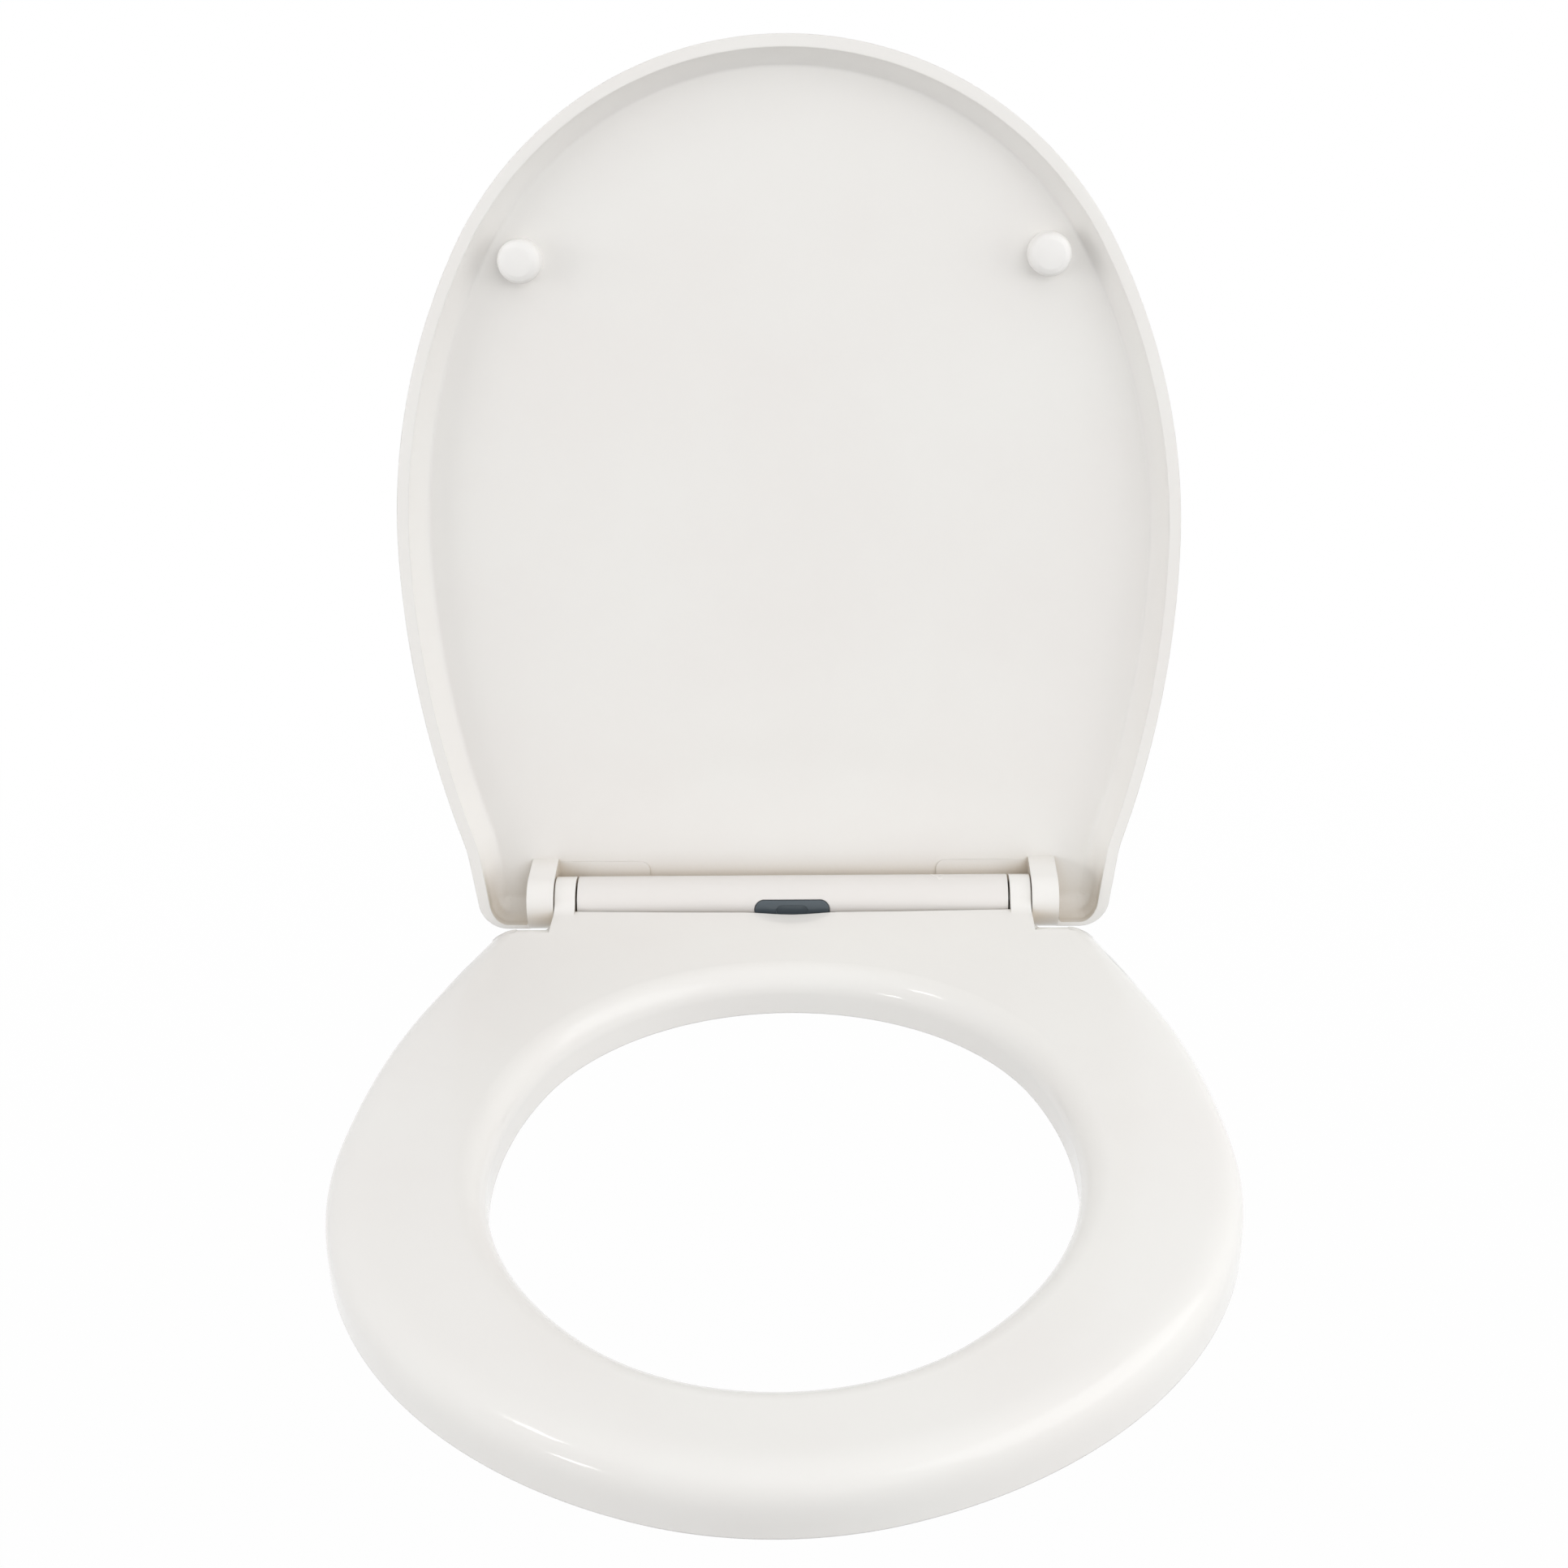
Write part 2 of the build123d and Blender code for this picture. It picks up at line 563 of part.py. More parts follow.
def release_button():
    """The push button: a pad curved like the barrel, with a stem down to a plate with two cam slots."""
    button = button_pad(0.0) & axis_rod(PAD_FACE_R, -BUTTON_WIDTH, BUTTON_WIDTH)
    dimple_face = Plane.XZ.offset(PAD_FACE_R - DIMPLE_DEPTH) * Pos(0, AXIS_Z)
    button -= extrude(dimple_face * SlotOverall(DIMPLE_WIDTH, DIMPLE_HEIGHT), amount=BUTTON_PAD)
    button += block(-BLOCK_HALF_X, BLOCK_HALF_X, PAD_BACK_Y, BLOCK_BACK_Y,
                    AXIS_Z - BLOCK_HALF_Z, AXIS_Z + BLOCK_HALF_Z)
    button += block(-STEM_HALF_X, STEM_HALF_X, STEM_FRONT_Y, STEM_FRONT_Y + STEM_T, CAM_Z,
                    AXIS_Z - BLOCK_HALF_Z)
    half = PIN_X + PIN_R + CAM_MARGIN
    plate = block(-half, half, CAM_FRONT_Y, CAM_BACK_Y, CAM_Z, CAM_Z + CAM_T)
    slot = cam_slot()
    return button + (plate - slot - mirrored(slot))


def button_spring():
    """The leaf spring between the button and the chamber's back wall."""
    foot_x = SPRING_LEG_X + SPRING_FOOT
    foot_y = CHAMBER_BACK_Y - SPRING_T
    front = [(foot_x, foot_y), (SPRING_LEG_X, foot_y), (SPRING_NOSE, BLOCK_BACK_Y)]
    back = [(x - SPRING_T / 2, y + SPRING_T) for x, y in front[1:]]
    right = [(foot_x, CHAMBER_BACK_Y), *front]
    strip = right + [(-x, y) for x, y in reversed(right)] + [(-x, y) for x, y in back] + back[::-1]
    leaf = make_face(Polyline(*strip, close=True))
    return extrude(Pos(0, 0, AXIS_Z - SPRING_HALF_Z) * leaf, amount=2 * SPRING_HALF_Z)


def latch_bar():
    """The right latch bar: a flat bar with a cam pin and a keyhole that holds the post's neck."""
    neck_half = NECK_HALF + BAR_GAP
    half_y = CHANNEL_HALF_Y - BAR_GAP
    bar = block(BAR_INNER_X, BAR_OUTER_X, -half_y, half_y, BAR_Z, BAR_Z + BAR_T)
    bar -= z_rod(KEYHOLE_R, BAR_Z, BAR_Z + BAR_T, KEYHOLE_X)
    bar -= block(POST_X - KEYHOLE_R, KEYHOLE_X, -neck_half, neck_half, BAR_Z, BAR_Z + BAR_T)
    return bar + z_rod(PIN_R, BAR_Z, CAM_Z + CAM_T + PIN_TIP, PIN_X)


def dampers():
    """The two sealed rotary dampers in the barrel's ends, each with a mouth for its shaft."""
    damper = axis_rod(DAMPER_R, DAMPER_IN, DAMPER_FACE)
    damper -= axis_rod(SHAFT_R + RUNNING, DAMPER_FACE - DAMPER_MOUTH, DAMPER_FACE)
    return Compound(children=[damper, mirrored(damper)])


def lid_shaft():
    """The right shaft: it runs through the seat's ear and is keyed in the lid's lug."""
    inner = DAMPER_FACE - DAMPER_MOUTH + RUNNING
    return keyed_rod(SHAFT_R, SHAFT_FLAT, inner, LUG_BORE_END - RUNNING)


def mounting_posts():
    """The two posts: a latched head over a base disc on the pan, and a stud with a thread below it."""
    tip_z = -(PAN_THICKNESS + THREAD_LENGTH)
    section = [
        (0, tip_z), (THREAD_R, tip_z), (THREAD_R, -PAN_THICKNESS), (STUD_R, -PAN_THICKNESS),
        (STUD_R, 0), (DISC_R, 0), (DISC_R, DISC_H), (POST_R, DISC_H), (POST_R, HEAD_TOP_Z),
        (0, HEAD_TOP_Z),
    ]
    post = revolve(Plane.XZ * make_face(Polyline(*section, close=True)), Axis.Z)
    for y0, y1 in ((NECK_HALF, POST_R), (-POST_R, -NECK_HALF)):
        post -= block(-POST_R, POST_R, y0, y1, NECK_Z, HEAD_Z)
    return both_posts(post)


def rubber_washers():
    """The two rubber washers under the pan."""
    washer = z_rod(WASHER_R, WASHER_Z - WASHER_T, WASHER_Z)
    return both_posts(washer - z_rod(THREAD_R + RUNNING, WASHER_Z - WASHER_T, WASHER_Z))


def wing_nut(way):
    """A wing nut on one stud: a six-sided hub with two blades that slant down and outwards."""
    low_z = NUT_Z - NUT_H
    plan = RegularPolygon(NUT_FLATS / 2, NUT_SIDES, major_radius=False)
    hub = extrude(Pos(0, 0, low_z) * plan, amount=NUT_H)
    tip_in = NUT_WING_REACH - NUT_WING_TIP
    right = [(0, NUT_Z), (NUT_WING_REACH, NUT_Z - NUT_WING_LIFT),
             (NUT_WING_REACH, NUT_Z - NUT_WING_DROP), (tip_in, NUT_Z - NUT_WING_DROP)]
    wings = right + [(0, low_z)] + [(-x, z) for x, z in reversed(right[1:])]
    blade = make_face(Polyline(*wings, close=True))
    nut = hub + extrude(Plane.XZ * blade, amount=NUT_WING_T / 2, both=True)
    bore = z_rod(THREAD_R + RUNNING, NUT_Z - NUT_WING_DROP, NUT_Z)
    return Pos(way * POST_X, 0, 0) * (nut - bore)


PARTS = {
    "seat_ring": seat_ring(),
    "seat_shaft": mirrored(lid_shaft()),
    "lid_shell": lid_shell(),
    "lid_bumpers": lid_bumpers(),
    "lid_shaft": lid_shaft(),
    "hinge_barrel": hinge_barrel(),
    "hinge_cover": hinge_cover(),
    "release_button": release_button(),
    "button_spring": button_spring(),
    "latch_bar_right": latch_bar(),
    "latch_bar_left": mirrored(latch_bar()),
    "dampers": dampers(),
    "mounting_posts": mounting_posts(),
    "rubber_washers": rubber_washers(),
    "wing_nut_right": wing_nut(1),
    "wing_nut_left": wing_nut(-1),
}
for name, place in bumper_places().items():
    PARTS[name] = ring_bumper(*place)

os.makedirs("parts", exist_ok=True)
for name, solid in PARTS.items():
    export_step(solid, f"parts/{name}.step")
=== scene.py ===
import json
import math

import bpy
import numpy as np
from mathutils import Matrix, Vector


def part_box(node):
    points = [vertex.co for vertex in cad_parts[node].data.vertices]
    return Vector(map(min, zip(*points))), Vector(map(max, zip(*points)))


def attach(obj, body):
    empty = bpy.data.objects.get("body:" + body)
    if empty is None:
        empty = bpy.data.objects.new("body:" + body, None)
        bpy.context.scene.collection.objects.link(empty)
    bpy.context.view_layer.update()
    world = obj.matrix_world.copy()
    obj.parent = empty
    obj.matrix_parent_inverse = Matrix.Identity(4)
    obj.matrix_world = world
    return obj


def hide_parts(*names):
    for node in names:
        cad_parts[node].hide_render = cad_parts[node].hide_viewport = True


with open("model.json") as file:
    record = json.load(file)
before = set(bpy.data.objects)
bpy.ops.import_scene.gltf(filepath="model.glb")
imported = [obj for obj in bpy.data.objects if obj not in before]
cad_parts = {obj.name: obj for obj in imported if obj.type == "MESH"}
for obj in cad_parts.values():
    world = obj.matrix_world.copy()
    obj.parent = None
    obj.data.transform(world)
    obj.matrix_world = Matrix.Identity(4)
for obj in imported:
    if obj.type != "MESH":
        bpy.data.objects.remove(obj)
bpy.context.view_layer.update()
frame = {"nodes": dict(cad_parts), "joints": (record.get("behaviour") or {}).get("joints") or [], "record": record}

# Camera, from the photograph: place in metres, angles in degrees, focal length in pixels
IMAGE_PX = 1932
FOCAL_PX = 2441.3
SENSOR_MM = 36.0
CAMERA_PLACE = (0.0222, -0.9038, 0.4833)
CAMERA_PITCH = 23.336
CAMERA_YAW = -1.613
CAMERA_ROLL = -1.056

# Stage: the floor lies a pan's height below the origin. Where it is seen it is nearly white close by, which
# leaves a faint shadow, and quite white from FLOOR_FAR on
FLOOR_Z = -0.40
FLOOR_SIZE = 30.0
FLOOR_GREY = 0.55
FLOOR_NEAR = 0.5
FLOOR_FAR = 1.6
FLOOR_NEAR_WHITE = 0.98
WORLD_LIGHT = 0.36

# Lamps: name, place, width, height, watts, and whether the gloss mirrors it
SEAT_MIDDLE = (0.0, -0.2, 0.1)
LAMPS = (
    ("overhead_diffuser", (0.1, -0.7, 1.8), 1.8, 1.4, 5.7, False),
    ("front_diffuser", (1.5, -4.0, 1.8), 3.0, 2.2, 50.0, False),
    ("rear_diffuser", (0.3, 0.9, 1.6), 1.5, 1.0, 7.0, False),
    ("left_diffuser", (-1.7, -0.6, 0.9), 1.0, 1.0, 3.2, False),
    ("back_diffuser", (0.0, 2.5, 0.5), 0.8, 0.8, 14.0, False),
    ("left_side_diffuser", (-2.2, -0.8, 0.4), 1.4, 1.2, 15.0, False),
    ("right_side_diffuser", (2.2, -0.8, 0.4), 1.4, 1.2, 11.7, False),
    ("right_softbox", (1.4, -0.5, 1.2), 2.2, 1.4, 9.0, True),
    ("left_spot_box", (-0.98, -0.39, 1.35), 0.3, 0.12, 1.0, True),
    ("left_low_box", (-1.25, -1.42, 0.36), 0.25, 0.10, 1.0, True),
)

# Finishing of all shapes: how often each triangle is cut in four, the distance within which points are
# joined, the turn in degrees up to which faces share a normal, and the turn from which they form a crease
ROUNDS = 2
WELD = 1e-6
SMOOTH_TURN = 50.0
CREASE_TURN = 6.0
# How near to upright or level a normal is told as a flat's or a wall's, and the weight that then keeps it
UPRIGHT = 1e-4
LEVEL = 4e-3
HOLD = 1000.0
# Steps per unit in which normals are compared, and the least length and square of a length to divide by
NORMAL_STEPS = 1e3
LEAST_LENGTH = 1e-12
LEAST_SQUARE = 1e-18

# Hinge axis over the origin
AXIS_HEIGHT = 0.029

# Ring's edge, redrawn after the photograph: height of its round's centre over the hinge axis, radius, power
# of its curve at the front and at the rear, where two is a circle, and the distances from the hinge between
# which the power changes
EDGE_HEIGHT = -0.015
EDGE_R = 0.016
EDGE_FRONT_POWER = 3.0
EDGE_REAR_POWER = 1.8
EDGE_CHANGE = (0.03, 0.14)
# How closely a normal has to fit a round section, of the ring or the lid, to be taken as part of it
EDGE_FIT = 0.02

# Lid's rim over the hinge axis, and how near to it a point has to be to lie on the rim
RIM_LEVEL = 0.0015
RIM_FIT = 0.00015

# Slope from the lid's rim to its floor: width, depth, radius of the round foot that it replaces, powers of
# its curve across and along the rise, least rise for its normals, distances from the hinge between which it
# grows to full size, and the distance beyond which no lug stands in its way
SLOPE_WIDTH = 0.0068
SLOPE_DEPTH = 0.013
SLOPE_FOOT = 0.0085
SLOPE_ACROSS = 1.15
SLOPE_UPWARD = 1.25
SLOPE_SOFT = 0.15
SLOPE_CHANGE = (0.0, 0.03)
SLOPE_CLEAR = 0.02

# Rear wall of the lid beside its lugs, drawn thin: outer side of the lugs, width of the wall, its reach from
# the lid's rear, how much of it goes, the width over which it thins, and the least facing of its inner side
LUG_OUTER = 0.134
LIP_WIDTH = 0.0056
LIP_REACH = 0.0155
LIP_DEPTH = 0.0036
LIP_FADE = 0.003
LIP_FACING = 0.01

# Coves between the ends of the bridge and the ring's rear edge
SEAT_REAR = -0.021
BRIDGE_END = 0.120
COVE_R = 0.005
COVE_SINK = 0.0003
COVE_STEPS = 12

# Thumb hollow in the bridge before the button, and the bow of the bridge's rear edge
SEAT_TOP = 0.030
SEAT_FOOT = 0.008
BRIDGE_EDGE_Y = -0.01396
BRIDGE_HALF = 0.1096
BRIDGE_BOW = 0.002
HOLLOW_HALF = 0.026
HOLLOW_RUN = 0.022
HOLLOW_DEPTH = 0.0013
HOLLOW_CUT = 0.0035

# Lid bumpers, drawn in and domed after the photograph
BUMPER_SHARE = 0.91
BUMPER_DOME = 0.0012

# Painted shade in the corners near the hinge, and shading of edges
CORNER_REACH = 0.035
CORNER_DEEP = 0.15
CORNER_OPEN = 0.72
HINGE_NEAR = 0.03
HINGE_FAR = 0.08
CORNER_SAMPLES = 8
EDGE_SAMPLES = 6

# Patterns in the materials: waves per metre and detail, and the parts of a pattern's range that are used
DRIFT_WAVES = 9.0
DRIFT_DETAIL = 4.0
POLISH_WAVES = 45.0
POLISH_DETAIL = 3.0
SKIN_DETAIL = 2.0
COLOUR_RANGE = (0.35, 0.65)
ROUGH_RANGE = (0.3, 0.7)

# Moulded materials: pale and warm colour, lowest and highest roughness, waves per metre and depth of the
# skin, radius of the eased edges, refraction, and the colour of the painted shade in corners near the
# hinge, where there is one
# Colour of the painted shade that darkens the hollows round the hinge
PAINTED_CORNER_SHADE = (0.62, 0.55, 0.46)
MOULDINGS = {
    "white_duroplast": ((0.850, 0.838, 0.812), (0.836, 0.815, 0.790),
                        0.08, 0.16, 900.0, 1.5e-6, 8e-4, 1.53, PAINTED_CORNER_SHADE),
    "white_plastic": ((0.788, 0.763, 0.741), (0.776, 0.749, 0.726),
                      0.24, 0.28, 260.0, 2e-6, 6e-4, 1.5, None),
    "white_rubber": ((0.860, 0.850, 0.835), (0.840, 0.825, 0.805),
                     0.28, 0.42, 1200.0, 4e-6, 5e-4, 1.5, None),
    "grey_rubber": ((0.09, 0.09, 0.092), (0.07, 0.07, 0.07),
                    0.55, 0.75, 1800.0, 2e-5, 5e-4, 1.5, None),
    "slate_plastic": ((0.085, 0.105, 0.120), (0.070, 0.088, 0.102),
                      0.28, 0.42, 2600.0, 4e-6, 4e-4, 1.5, None),
    "black_plastic": ((0.028, 0.030, 0.032), (0.020, 0.021, 0.022),
                      0.38, 0.55, 2200.0, 8e-6, 3e-4, 1.5, None),
    "grey_plastic": ((0.42, 0.43, 0.44), (0.38, 0.39, 0.40),
                     0.32, 0.46, 1600.0, 8e-6, 5e-4, 1.5, None),
}

# Steel: pale and dark colour, range of roughness, and waves, detail, stretch and depth of its fine lines
STEEL_PALE = (0.66, 0.66, 0.65)
STEEL_DARK = (0.50, 0.50, 0.50)
STEEL_ROUGH = (0.22, 0.36)
LINE_WAVES = 60.0
LINE_DETAIL = 6.0
LINE_STRETCH = (1.0, 1.0, 40.0)
LINE_DEPTH = 2e-5

# Material slot of each node
NODE_SLOTS = {
    "seat_ring": "white_duroplast",
    "lid_shell": "white_duroplast",
    "hinge_barrel": "white_plastic",
    "hinge_cover": "white_plastic",
    "lid_bumpers": "white_rubber",
    "front_right_bumper": "white_rubber",
    "front_left_bumper": "white_rubber",
    "rear_right_bumper": "white_rubber",
    "rear_left_bumper": "white_rubber",
    "release_button": "slate_plastic",
    "dampers": "black_plastic",
    "seat_shaft": "steel",
    "lid_shaft": "steel",
    "button_spring": "steel",
    "latch_bar_right": "steel",
    "latch_bar_left": "steel",
    "mounting_posts": "steel",
    "rubber_washers": "grey_rubber",
    "wing_nut_right": "grey_plastic",
    "wing_nut_left": "grey_plastic",
}


# Curved surfaces worked out again from the facets and normals of the solids

def unit(vectors):
    """The same vectors at length one."""
    length = np.linalg.norm(vectors, axis=-1, keepdims=True)
    return vectors / np.maximum(length, LEAST_LENGTH)


def dot(a, b):
    """Dot products along the last axis, kept as a column."""
    return (a * b).sum(-1, keepdims=True)


def progress(values, start, end):
    """How far values have come from start to end, held between nought and one."""
    return np.clip((values - start) / (end - start), 0, 1)


def facets(node):
    """Points, triangles and corner normals of a node, with points at one place joined."""
    mesh = frame["nodes"][node].data
    places = np.zeros(len(mesh.vertices) * 3)
    mesh.vertices.foreach_get("co", places)
    corners = np.zeros(len(mesh.loops), int)
    mesh.loops.foreach_get("vertex_index", corners)
    normals = np.zeros(len(mesh.loops) * 3)
    mesh.corner_normals.foreach_get("vector", normals)
    places = places.reshape(-1, 3)
    cells = np.round(places / WELD).astype(np.int64)
    _, first, joined = np.unique(cells, axis=0, return_index=True, return_inverse=True)
    triangles = joined.reshape(-1)[corners].reshape(-1, 3)
    return places[first], triangles, normals.reshape(-1, 3, 3)


def evened(triangles, normals, up):
    """Corner normals shared by the faces that roll into each other; walls and flats keep their own."""
    corners = triangles.reshape(-1)
    flat = normals.reshape(-1, 3)
    keys = np.column_stack([corners, np.round(flat * NORMAL_STEPS).astype(int)])
    _, first = np.unique(keys, axis=0, return_index=True)
    lean = np.abs(flat[first] @ up)
    weight = np.where((lean > 1 - UPRIGHT) | (lean < LEVEL), HOLD, 1.0)
    others = {}
    for index, share in zip(first, weight):
        others.setdefault(corners[index], []).append((flat[index], share))
    limit = math.cos(math.radians(SMOOTH_TURN))
    even = np.empty_like(flat)
    for index, point in enumerate(corners):
        even[index] = sum(n * share for n, share in others[point] if n @ flat[index] > limit)
    return unit(even).reshape(-1, 3, 3)


def between(start, end, step):
    """Normals halfway along edges, from the normals at their ends."""
    both = start + end
    turned = unit(both - 2 * dot(step, both) / np.maximum(dot(step, step), LEAST_SQUARE) * step)
    return unit(both + turned)


def crease_tangent(side_a, side_b, step):
    """Direction of a crease between two faces at one end, and whether the faces do meet at an angle."""
    line = np.cross(side_a, side_b)
    real = np.linalg.norm(line, axis=1, keepdims=True) > math.sin(math.radians(CREASE_TURN))
    line = unit(line) * np.sign(dot(line, step))
    return np.where(real, line, unit(step)), real


def divided(points, triangles, exact, even):
    """Each triangle cut in four, with the new points on the curved surface that the normals describe."""
    starts = triangles.reshape(-1)
    ends = np.roll(triangles, -1, axis=1).reshape(-1)
    edges, first, edge_of = np.unique(
        np.sort(np.column_stack([starts, ends]), axis=1), axis=0, return_index=True, return_inverse=True)
    edge_of = edge_of.reshape(-1)
    last = np.zeros(len(edges), int)
    last[edge_of] = np.arange(len(edge_of))
    forward = (starts < ends)[:, None]

    def at_ends(normals):
        here = normals.reshape(-1, 3)
        there = np.roll(normals, -1, axis=1).reshape(-1, 3)
        return np.where(forward, here, there), np.where(forward, there, here)

    exact_low, exact_high = at_ends(exact)
    even_low, even_high = at_ends(even)
    low, high = points[edges[:, 0]], points[edges[:, 1]]
    step = high - low
    leave, real_low = crease_tangent(exact_low[first], exact_low[last], step)
    arrive, real_high = crease_tangent(exact_high[first], exact_high[last], step)
    crease = real_low | real_high
    bow = np.linalg.norm(step, axis=1, keepdims=True) * (leave - arrive)
    start_normal, end_normal = even_low[first], even_high[first]
    swell = dot(step, end_normal) * end_normal - dot(step, start_normal) * start_normal
    # An eighth is the weight of the end tangents halfway along a cubic
    middles = (low + high) / 2 + np.where(crease, bow, swell) / 8

    long_step = step[edge_of]
    exact_mid = between(exact_low, exact_high, long_step).reshape(-1, 3, 3)
    even_mid = between(even_low, even_high, long_step).reshape(-1, 3, 3)
    mid = (edge_of + len(points)).reshape(-1, 3)

    def quarters(corner, middle):
        parts = [[corner[:, k], middle[:, k], middle[:, k - 1]] for k in range(3)]
        parts.append([middle[:, k] for k in range(3)])
        return np.concatenate([np.stack(part, axis=1) for part in parts])

    return (np.concatenate([points, middles]), quarters(triangles, mid),
            quarters(exact, exact_mid), quarters(even, even_mid))


# Shapes that the photograph shows on top of the solids

def from_hinge(points, up):
    """Forward direction of the ring or lid, and how far each point lies that way from the hinge axis."""
    ahead = np.cross((1.0, 0.0, 0.0), up)
    return ahead, (points - (0.0, 0.0, AXIS_HEIGHT)) @ ahead


def redrawn(points, triangles, normals, up, middle):
    """The ring with the round section of its edge drawn fuller or flatter than a circle."""
    corners = triangles.reshape(-1)
    turned = normals.reshape(-1, 3).copy()
    level = AXIS_HEIGHT * up[2] + EDGE_HEIGHT
    lift = ((points[corners] @ up - level) / EDGE_R)[:, None]
    tilt = (turned @ up)[:, None]
    side = turned - tilt * up
    outward = dot(side, points[corners] - middle) > 0
    on = (outward & (np.abs(tilt - lift) < EDGE_FIT) & (lift > 0) & (lift < 1))[:, 0]
    rise, side = lift[on], unit(side[on])
    reach = np.sqrt(1 - rise**2)
    _, along = from_hinge(points[corners[on]], up)
    share = progress(along, *EDGE_CHANGE)[:, None]
    power = EDGE_REAR_POWER + (EDGE_FRONT_POWER - EDGE_REAR_POWER) * share
    new_reach, new_rise = reach ** (2 / power), rise ** (2 / power)
    places = points.copy()
    places[corners[on]] += EDGE_R * ((new_reach - reach) * side + (new_rise - rise) * up)
    turned[on] = unit(new_reach ** (power - 1) * side + new_rise ** (power - 1) * up)
    return places, turned.reshape(-1, 3, 3)


def sloped(points, triangles, normals, up, middle):
    """The lid with one slope in place of its inner wall and the round foot of that wall."""
    corners = triangles.reshape(-1)
    turned = normals.reshape(-1, 3).copy()
    depth = points[corners] @ up - AXIS_HEIGHT * up[2] - RIM_LEVEL
    wall = SLOPE_DEPTH - SLOPE_FOOT
    rise = np.clip((depth - wall) / SLOPE_FOOT, 0, 1)
    tilt = -turned @ up
    side = -turned - tilt[:, None] * up
    outward = dot(side, points[corners] - middle)[:, 0] > 0
    _, along = from_hinge(points[corners], up)
    share = progress(along, *SLOPE_CHANGE)
    clear = (along > SLOPE_CLEAR) | (np.abs(points[corners, 0]) > LUG_OUTER + LIP_FADE)
    on = outward & clear & (np.abs(tilt - rise) < EDGE_FIT) & (rise < 1) & (share > 0)
    rise, side, share, depth = rise[on, None], unit(side[on]), share[on, None], depth[on, None]
    angle = np.arcsin(rise)
    length = np.clip(depth, 0, wall) + SLOPE_FOOT * angle
    turn = np.pi / 2 * length / (wall + SLOPE_FOOT * np.pi / 2)
    new_reach, new_rise = np.cos(turn) ** (2 / SLOPE_ACROSS), np.sin(turn) ** (2 / SLOPE_UPWARD)
    inset = SLOPE_WIDTH * (1 - new_reach) - SLOPE_FOOT * (1 - np.cos(angle))
    shift = (SLOPE_DEPTH * new_rise - depth) * up - inset * side
    places = points.copy()
    places[corners[on]] += share * shift
    outer = SLOPE_ACROSS / SLOPE_WIDTH * new_reach ** (SLOPE_ACROSS - 1) * side
    upper = SLOPE_UPWARD / SLOPE_DEPTH * np.maximum(new_rise, SLOPE_SOFT) ** (SLOPE_UPWARD - 1) * up
    turned[on] = unit((1 - share) * turned[on] - share * unit(outer + upper))
    return places, turned.reshape(-1, 3, 3)


def thinned(points, triangles, normals, up):
    """The lid with its rear wall thin beside the lugs, so that the corner pockets run out to a lip."""
    corners = triangles.reshape(-1)
    ahead, along = from_hinge(points, up)
    facing = normals.reshape(-1, 3) @ ahead
    near = (along - along.min() < LIP_REACH) & (np.abs(points[:, 0]) > LUG_OUTER - WELD)
    weight = np.zeros(len(points))
    np.maximum.at(weight, corners, np.where(near[corners] & (facing > LIP_FACING), facing, 0.0))
    weight *= np.clip((np.abs(points[:, 0]) - LUG_OUTER) / LIP_FADE, 0, 1)
    land = near & (np.abs(points @ up - AXIS_HEIGHT * up[2] - RIM_LEVEL) < RIM_FIT)
    inner, flat = np.flatnonzero(land & (weight > 0)), np.flatnonzero(land & (weight == 0))
    gaps = np.linalg.norm(points[flat, None] - points[None, inner], axis=2)
    weight[flat] = weight[inner][gaps.argmin(1)] * np.clip(1 - gaps.min(1) / LIP_WIDTH, 0, 1)
    return points - LIP_DEPTH * weight[:, None] * ahead


def cut(points, triangles, normals, axis, at):
    """The same surface with its triangles split where they cross a plane."""
    side = points[:, axis] - at
    side[np.abs(side) < WELD] = 0.0
    crossed = (side[triangles] > 0).any(1) & (side[triangles] < 0).any(1)
    places, shared = [], {}
    parts, turns = [triangles[~crossed]], [normals[~crossed]]
    for corners, turn in zip(triangles[crossed], normals[crossed]):
        rim = []
        for k in range(3):
            here, there = corners[k], corners[k - 2]
            rim.append((here, turn[k], side[here]))
            if side[here] * side[there] < 0:
                share = side[here] / (side[here] - side[there])
                edge = (min(here, there), max(here, there))
                if edge not in shared:
                    shared[edge] = len(points) + len(places)
                    places.append(points[here] + share * (points[there] - points[here]))
                rim.append((shared[edge], unit(turn[k] + share * (turn[k - 2] - turn[k])), 0.0))
        for way in (-1, 1):
            part = [corner for corner in rim if corner[2] * way >= 0]
            for one, two in zip(part[1:], part[2:]):
                parts.append([[part[0][0], one[0], two[0]]])
                turns.append([[part[0][1], one[1], two[1]]])
    points = np.concatenate([points, np.reshape(places, (-1, 3))])
    return points, np.concatenate(parts), np.concatenate(turns)


